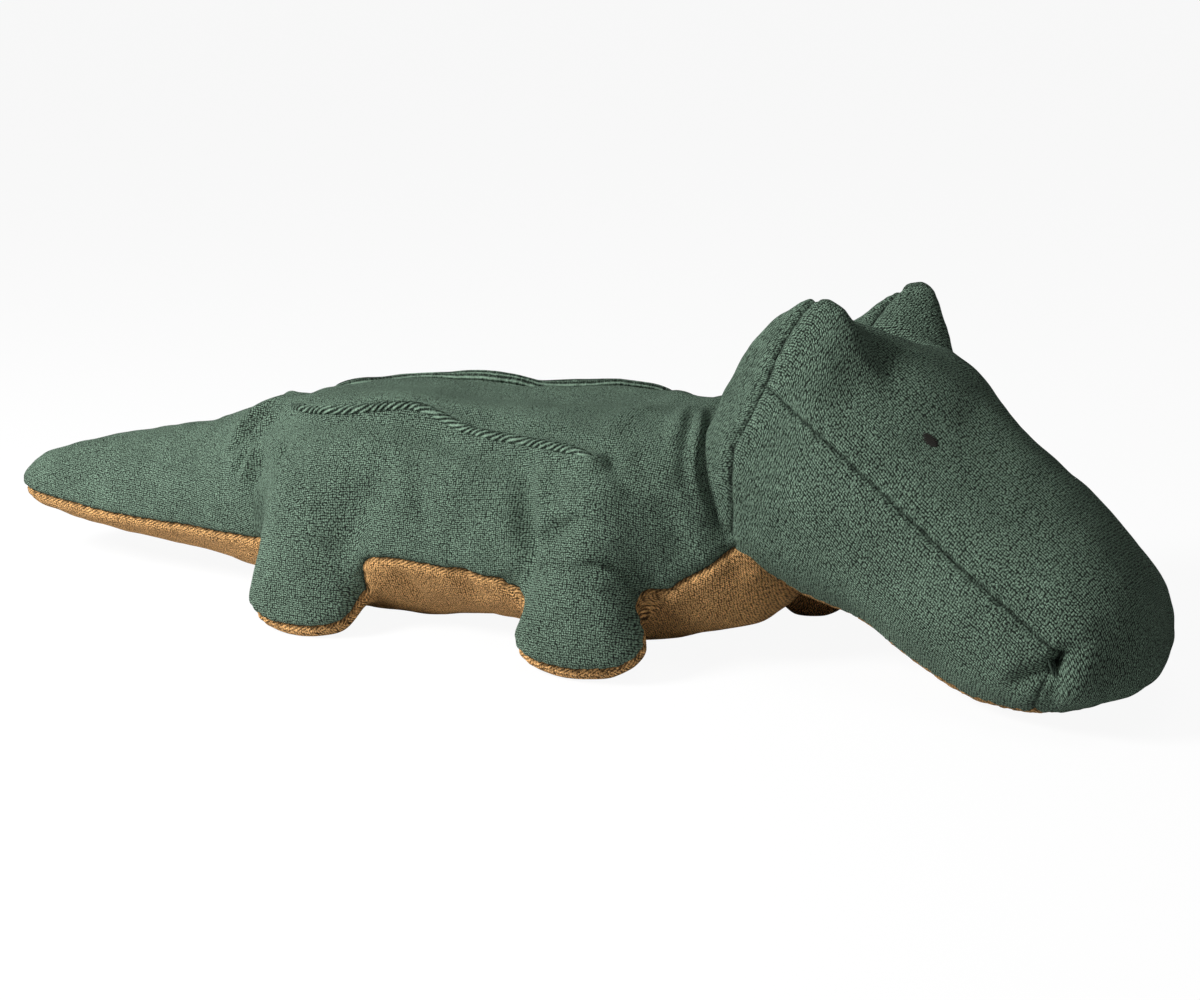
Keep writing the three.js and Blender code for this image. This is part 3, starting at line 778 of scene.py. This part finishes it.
def sculpt_body(places, gap, run):
    """How far the cloth of the body stands out at each place."""
    offset = seam_draw(gap, run) + beside_tucks(places) + folded(places, body_folds)
    offset += 0.5 * soft_noise(places, 46, 3) + 0.25 * soft_noise(places, 17, 5)
    return offset


def sculpt_head(places, gap, run):
    offset = seam_draw(gap, run) + folded(places, head_folds)
    offset += 0.4 * soft_noise(places, 50, 8) + 0.2 * soft_noise(places, 15, 9)
    return offset


def pressed_flat(mesh):
    """What lies on the floor is pressed flat there, with a soft edge."""
    softness = 0.5
    places = corners(mesh)
    z = places[:, 2] / mm
    places[:, 2] = (z + np.sqrt(z ** 2 + softness)) / 2 * mm
    set_corners(mesh, places)


body = joined("body", [
    stuffed_form(torso_section, torso_start, torso_end, rings=60, sides=72),
    stuffed_form(tail_section, tail_root - tail_length, tail_root + tail_overlap, rings=48, sides=56),
    *[form for form, _ in leg_forms]])
body_filling = stuffed(body, "body_stuffing", sculpt_body, body_voxel, relax=8)

head = joined("head", [
    stuffed_form(head_section, head_start, head_length, rings=90, sides=96, lift=brow_lift)])
head_filling = stuffed(head, "head_stuffing", sculpt_head, head_voxel, relax=3)

back_skin, belly_skin = panelled(
    body, [body_level], body_panel, sculpt_body, body_grid, body_loop,
    ["body_back_skin", "body_belly_skin"])
head_cuts = [lambda places, seam=seam: head_levels(places)[seam]
             for seam in ("nape", "crown", "chin", "nose")]
head_panels = ["nape", "crown", "right_cheek", "left_cheek", "chin"]
head_pieces = panelled(
    head, head_cuts, head_panel, sculpt_head, head_grid, head_loop,
    [f"head_{panel}_skin" for panel in head_panels])
for piece in [back_skin, belly_skin]:
    pressed_flat(piece.data)


# Tucks and stitching

def faces_of(pieces):
    """All the faces of some pieces, to lay other pieces on."""
    bm = bmesh.new()
    for piece in pieces:
        bm.from_mesh(piece.data)
    tree = BVHTree.FromBMesh(bm)
    bm.free()
    return tree


def swept(route, ups, ring, strand):
    """A closed cord along a route, and the strand and the step of each of its corners."""
    bm = bmesh.new()
    route = [Vector(place) for place in route]
    rows = [bmesh.ops.create_circle(bm, cap_ends=True, segments=26, radius=1)["verts"]]
    face = bm.faces[:]
    for _ in route[1:]:
        grown = bmesh.ops.extrude_face_region(bm, geom=face)["geom"]
        face = [part for part in grown if isinstance(part, bmesh.types.BMFace)]
        rows.append([part for part in grown if isinstance(part, bmesh.types.BMVert)])
    facts = {}
    for step, row in enumerate(rows):
        here = route[step]
        forward = (route[min(step + 1, len(route) - 1)] - route[max(step - 1, 0)]).normalized()
        side = forward.cross(Vector(ups[step])).normalized()
        up = side.cross(forward)
        for vert in row:
            angle = math.atan2(vert.co.y, vert.co.x)
            out = side * math.cos(angle) + up * math.sin(angle)
            vert.co = here + out * ring(step, angle)
            facts[vert] = (strand(step, angle), step)
    bmesh.ops.recalc_face_normals(bm, faces=bm.faces)
    return bm, np.array([facts[vert] for vert in bm.verts])


def laid_tuck(name, side):
    """The stitched tuck on one side of the back, a cord of pinched terry."""
    steps, easing, taper, sunk = 330, 12, 16, 2.1
    table = measured(tuck_line)
    run = np.linspace(0, table[-1, 0], steps)
    tree = faces_of([back_skin])
    found = []
    for length in run:
        x, y = at_stations(table, length)
        above = Vector((x * mm, -side * y * mm, 0.2))
        place, normal, _, _ = tree.ray_cast(above, Vector((0, 0, -1)))
        found.append([*place, *normal])
    found = np.array(found)
    padded = np.pad(found, ((easing, easing), (0, 0)), 'edge')
    smooth = np.array([padded[k:k + 2 * easing + 1].mean(axis=0) for k in range(steps)])
    smooth[:, :2] = found[:, :2]
    proud = np.array([rounded(min(length, run[-1] - length) + 0.4, taper, 1.6) for length in run])
    rise = tuck_rise(side, smooth[:, 0] / mm) * proud - sunk
    lie = smooth[:, :3] + smooth[:, 3:] * (rise * mm)[:, None]

    def strand(step, angle):
        """Which strand lies here: the right tuck's slant round it, the left's run along it."""
        if side < 0:
            uneven = 0.3 * math.sin(run[step] / 7) + 0.18 * math.sin(run[step] / 2.7)
            return 5 * angle / (2 * math.pi) - run[step] / 4.3 + uneven
        return 9 * angle / (2 * math.pi) + 0.1 * math.sin(run[step] / 9)

    def ring(step, angle):
        relief = 1 + (0.17 if side < 0 else 0.12) * math.cos(2 * math.pi * strand(step, angle))
        return tuck_radii[side] * relief * (0.45 + 0.55 * proud[step]) * mm

    bm, facts = swept(lie, smooth[:, 3:], ring, strand)
    piece = new_piece(name, bm)
    along = run[facts[:, 1].astype(int)]
    facts = {"cloth_row": facts[:, 0].copy(), "cloth_along": along, "seam_run": along,
             "seam_gap": np.full(len(along), 6.0), "ruffle": np.full(len(along), 0.3)}
    for fact, values in facts.items():
        layer = piece.data.attributes.new(fact, 'FLOAT', 'POINT')
        layer.data.foreach_set("value", values)
    return piece


def stitches(name, ends, radius):
    """Short satin stitches, each from one place to another."""
    bm = bmesh.new()
    for start, stop in ends:
        ball = bmesh.ops.create_uvsphere(bm, u_segments=10, v_segments=8, radius=radius)["verts"]
        stretch = Matrix.Diagonal((1, 1, (stop - start).length / 2 / radius, 1))
        turn = (stop - start).to_track_quat('Z', 'Y').to_matrix().to_4x4()
        shape = Matrix.Translation((start + stop) / 2) @ turn @ stretch
        bmesh.ops.transform(bm, matrix=shape, verts=ball)
    return new_piece(name, bm)


def sewn_eye(name, side, tree):
    """Satin stitches side by side across a small oval."""
    long_half, tall_half, strands = 4.0, 2.7, 10
    along, across = eye_place
    above = Vector((along, across * side, 90)) * mm
    place, normal, _, _ = tree.ray_cast(above, Vector((0, 0, -1)))
    forward = (Vector((1, 0.12 * side, 0)) - normal * normal.x).normalized()
    sideways = normal.cross(forward)
    ends = []
    for k in range(strands):
        t = (k + 0.5) / strands * 2 - 1
        reach = tall_half * math.sqrt(1 - t * t) * (1 + 0.12 * math.sin(k * 2.4))
        middle = place + forward * t * long_half * mm + normal * 0.35 * mm
        lean = forward * 0.5 * mm
        ends.append((middle - sideways * reach * mm - lean - normal * 0.5 * mm,
                     middle + sideways * reach * mm + lean - normal * 0.5 * mm))
    return stitches(name, ends, 0.55 * mm)


def sewn_nostril(name, side, tree):
    """Three long stitches that hold the corner of the nose in."""
    level = at_stations(head_shares, nostril_place / head_length)[1] * head_height
    ends = []
    for k in range(3):
        pair = []
        for drop, ahead in ((0, -3.2), (-5.5, 3.0)):
            start = Vector((nostril_place + ahead + 1.2 * (k - 1), side * 80, level - 4 + drop)) * mm
            place, normal, _, _ = tree.ray_cast(start, Vector((0, -side, 0)))
            pair.append(place + normal * 0.3 * mm)
        ends.append(pair)
    return stitches(name, ends, 0.6 * mm)


sides = {"right": -1, "left": 1}
head_tree = faces_of(head_pieces)
tucks = {name: laid_tuck(f"{name}_back_tuck_cord", side) for name, side in sides.items()}
eyes = {name: sewn_eye(f"{name}_eye_stitches", side, head_tree) for name, side in sides.items()}
nostrils = {name: sewn_nostril(f"{name}_nostril_stitches", side, head_tree)
            for name, side in sides.items()}

for piece in [*head_pieces, head_filling, *eyes.values(), *nostrils.values()]:
    piece.data.transform(head_matrix)
for piece in [*head_pieces, head_filling, body_filling]:
    pressed_flat(piece.data)


# Finishes

class Wire:
    """A socket of a material, with arithmetic on it."""

    def __init__(self, tree, socket):
        self.tree, self.socket = tree, socket

    def maths(self, operation, *others):
        return add_node(self.tree, 'ShaderNodeMath', {"operation": operation},
                        dict(enumerate((self, *others))))

    def __add__(self, other):
        return self.maths('ADD', other)

    def __sub__(self, other):
        return self.maths('SUBTRACT', other)

    def __mul__(self, other):
        return self.maths('MULTIPLY', other)

    def __rsub__(self, other):
        return self.maths('MULTIPLY', -1).maths('ADD', other)

    __radd__ = __add__
    __rmul__ = __mul__

    def between(self, low, high):
        """0 at low, 1 at high, smooth between."""
        return add_node(self.tree, 'ShaderNodeMapRange', {"interpolation_type": 'SMOOTHSTEP'},
                        {0: self, 1: low, 2: high})


def add_node(tree, kind, settings, inputs, output=0):
    """A new node, its sockets given by name, or by number where two have the same name."""
    node = tree.nodes.new(kind)
    for name, value in settings.items():
        setattr(node, name, value)
    for key, value in inputs.items():
        if isinstance(value, Wire):
            tree.links.new(value.socket, node.inputs[key])
        else:
            node.inputs[key].default_value = value
    return Wire(tree, node.outputs[output])


def mixed(tree, factor, low, high, blend='MIX'):
    return add_node(tree, 'ShaderNodeMix', {"data_type": 'RGBA', "blend_type": blend},
                    {0: factor, 6: low, 7: high}, 2)


def scaled(colour, share):
    """A colour made darker or brighter."""
    return (*[min(1, share * value) for value in colour[:3]], 1)


def new_material(name, looks):
    """A material, its nodes and its shader, which has some of its values set."""
    material = bpy.data.materials.new(name)
    material.use_nodes = True
    tree = material.node_tree
    shader = tree.nodes["Principled BSDF"]
    for socket, value in looks.items():
        shader.inputs[socket].default_value = value
    return material, tree, shader


def surfaced(tree, shader, colour, height, strength, distance):
    """Gives a shader its colour and its relief."""
    bump = add_node(tree, 'ShaderNodeBump', {},
                    {"Strength": strength, "Distance": distance, "Height": height})
    tree.links.new(colour.socket, shader.inputs["Base Color"])
    tree.links.new(bump.socket, shader.inputs["Normal"])


def terry(name, colour, lean, share, pitch, reach):
    """Looped terry, and along its seams strands of some lean, share, pitch and reach."""
    material, tree, shader = new_material(name, {
        "Roughness": 0.95, "Specular IOR Level": 0.1, "Sheen Weight": 0.12,
        "Sheen Roughness": 0.45, "Sheen Tint": scaled(colour, 2.5)})
    place = add_node(tree, 'ShaderNodeTexCoord', {}, {}, "Object")
    row, along, gap, run, ruffle = [
        add_node(tree, 'ShaderNodeAttribute', {"attribute_name": fact}, {}, "Fac")
        for fact in ("cloth_row", "cloth_along", "seam_gap", "seam_run", "ruffle")]

    def noise(scale, detail=2.0, roughness=0.5):
        return add_node(tree, 'ShaderNodeTexNoise', {},
                        {"Vector": place, "Scale": scale, "Detail": detail, "Roughness": roughness})

    # Loops in uneven rows, half lost in ribs and fluff
    ruffled = noise(26.0, 3.0).between(0.40, 0.66)
    column = row + ruffle * (noise(40.0) * 1.2 + noise(430.0) * (0.3 + 0.9 * ruffled))
    step = along + noise(380.0) * (0.7 + 1.2 * ruffled)
    cell = add_node(tree, 'ShaderNodeCombineXYZ', {}, {"X": column, "Y": step})
    loop = add_node(tree, 'ShaderNodeTexVoronoi', {"voronoi_dimensions": '2D'},
                    {"Vector": cell, "Scale": 1.0, "Randomness": 0.45})
    ribs = 0.5 - (column * (2 * math.pi)).maths('COSINE') * 0.5
    fibre = noise(1500.0, 3.0, 0.8)
    beads = 1.18 - loop * 2.2
    pile = ribs + (beads - ribs) * (0.1 + 0.6 * ruffle) + (fibre - 0.5) * 1.8

    # Strands beside the seams
    slant = ((run + gap * lean) * (2 * math.pi / pitch)).maths('COSINE') * 0.5 + 0.5
    strands = slant * 0.7 + (fibre - 0.5) * 1.6 + 0.1
    edge = (1 - (gap + noise(420.0) * 3.0).between(reach, reach + 3)) * share
    height = pile + (strands - pile) * edge

    # Painted shade in the hollows between the loops and painted highlight on their tips, painted shade
    # with some dirt in the seam creases, and unevenly worn and flecked
    worn = noise(34.0, 3.0).between(0.3, 0.72)
    # The colour is scaled from dark in the hollows to bright on the loop tops, following the pile's
    # height: painted shade and painted highlight on the pile
    painted_hollow_shade, tip = 0.04 + 0.08 * worn, 2.5
    # Close to a seam the colour is darkened down to 0.4: painted shade in the seam crease, with some
    # dirt
    crease = (gap + (noise(330.0) - 0.5) * 5.0).between(0.1, 1.6) * 0.6 + 0.4
    fleck = noise(270.0, 3.0).between(0.36, 0.64)
    level = (painted_hollow_shade + height.between(-0.05, 1.0) * (tip - painted_hollow_shade)) * crease
    level = level * (0.92 + 0.16 * worn) * (0.91 + 0.16 * fleck)
    shade = add_node(tree, 'ShaderNodeCombineColor', {},
                     {"Red": level, "Green": level, "Blue": level})
    surfaced(tree, shader, mixed(tree, 1.0, colour, shade, 'MULTIPLY'), height, 1.0, 0.0011)
    return material


def thread(name, colour, roughness):
    """Fine fibres, as in sewing thread or filling."""
    material, tree, shader = new_material(name, {
        "Roughness": roughness, "Specular IOR Level": 0.2})
    place = add_node(tree, 'ShaderNodeTexCoord', {}, {}, "Object")
    fibre = add_node(tree, 'ShaderNodeTexNoise', {},
                     {"Vector": place, "Scale": 2600.0, "Detail": 3.0})
    shade = mixed(tree, fibre.between(0.3, 0.7), scaled(colour, 0.55), colour)
    surfaced(tree, shader, shade, fibre, 0.7, 0.0002)
    return material


materials = {
    "green_terry": terry("green terry", (0.098, 0.146, 0.108, 1),
                         lean=0.9, share=0.3, pitch=1.6, reach=2.5),
    "tan_terry": terry("tan terry", (0.455, 0.253, 0.1, 1),
                       lean=-1.8, share=0.6, pitch=2.6, reach=2.6),
    "filling": thread("white fibre", (0.82, 0.81, 0.78, 1), 0.95),
    "eye_thread": thread("dark eye thread", (0.018, 0.017, 0.014, 1), 0.6),
    "green_thread": thread("green thread", (0.035, 0.055, 0.040, 1), 0.75)}


def finished(piece, slot, nodes):
    """Gives a piece its material and slot, and hides the solids it takes the place of."""
    piece.data.materials.clear()
    piece.data.materials.append(materials[slot])
    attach(piece, "root")
    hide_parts(*nodes)


def thickened(piece):
    """Gives a skin the thickness of the cloth, inwards."""
    wall = piece.modifiers.new("cloth", 'SOLIDIFY')
    wall.thickness = skin_thickness * mm
    wall.offset = -1


def body_nodes(trunk, leg):
    """The solids of one kind in the torso, the tail and the legs."""
    ends = [f"{side}_{end}_leg_{leg}" for end in ("front", "hind") for side in ("right", "left")]
    return [f"torso_{trunk}", f"tail_{trunk}", *ends]


finished(back_skin, "green_terry", body_nodes("back_cover", "outer_cover"))
finished(belly_skin, "tan_terry", body_nodes("belly_cover", "under_cover"))
finished(body_filling, "filling", body_nodes("filling", "filling"))
finished(head_filling, "filling", ["head_filling"])
for piece, panel in zip(head_pieces, head_panels):
    finished(piece, "tan_terry" if panel == "chin" else "green_terry", [f"head_{panel}_panel"])
for piece in [back_skin, belly_skin, *head_pieces]:
    thickened(piece)
for pieces, slot, part in ((tucks, "green_terry", "back_tuck"), (eyes, "eye_thread", "eye"),
                           (nostrils, "green_thread", "nostril_tack")):
    for name, piece in pieces.items():
        finished(piece, slot, [f"{name}_{part}"])


# Floor, light and camera: the floor glows and the room is white only as the camera sees them

floor_glow, room_light = 0.93, 0.095
bpy.ops.mesh.primitive_plane_add(size=80)
floor = bpy.context.object
floor.name = "floor"
floor_paint, tree, shader = new_material("floor paint", {
    "Base Color": (0.72, 0.72, 0.72, 1), "Roughness": 0.9, "Specular IOR Level": 0.1})
seen = add_node(tree, 'ShaderNodeLightPath', {}, {})
glow = add_node(tree, 'ShaderNodeEmission', {}, {"Color": (1, 1, 1, 1), "Strength": 1.0})
paint = Wire(tree, shader.outputs[0])
blend = add_node(tree, 'ShaderNodeMixShader', {}, {0: seen * floor_glow, 1: paint, 2: glow})
tree.links.new(blend.socket, tree.nodes["Material Output"].inputs["Surface"])
floor.data.materials.append(floor_paint)

world = bpy.data.worlds.new("studio")
bpy.context.scene.world = world
world.use_nodes = True
tree = world.node_tree
seen = add_node(tree, 'ShaderNodeLightPath', {}, {})
ambient = tree.nodes["Background"]
ambient.inputs["Color"].default_value = (1, 1, 1, 1)
strength = room_light + (1 - room_light) * seen
tree.links.new(strength.socket, ambient.inputs["Strength"])


def lamp(name, place, aim, size, power):
    """A round lamp aimed at a place."""
    light = bpy.data.lights.new(name, 'AREA')
    light.shape = 'DISK'
    light.size = size
    light.energy = power
    holder = linked(name, light)
    holder.location = place
    holder.rotation_euler = (Vector(aim) - Vector(place)).to_track_quat('-Z', 'Y').to_euler()


lamp("key light", (-0.55, -0.62, 0.68), (-0.05, 0, 0.05), size=0.34, power=22)
lamp("top light", (0.30, -0.30, 1.6), (0.1, 0, 0.05), size=0.9, power=7)

optics = bpy.data.cameras.new("camera")
optics.lens = camera_lens
optics.sensor_width = 36
optics.sensor_fit = 'HORIZONTAL'
optics.clip_start = 0.01
camera = linked("camera", optics)
outward = Vector((math.sin(camera_azimuth) * math.cos(camera_elevation),
                  -math.cos(camera_azimuth) * math.cos(camera_elevation),
                  math.sin(camera_elevation)))
camera.location = look_at + outward * camera_distance
camera.rotation_euler = outward.to_track_quat('Z', 'Y').to_euler()
bpy.context.scene.camera = camera
bpy.context.scene.view_settings.view_transform = 'Standard'
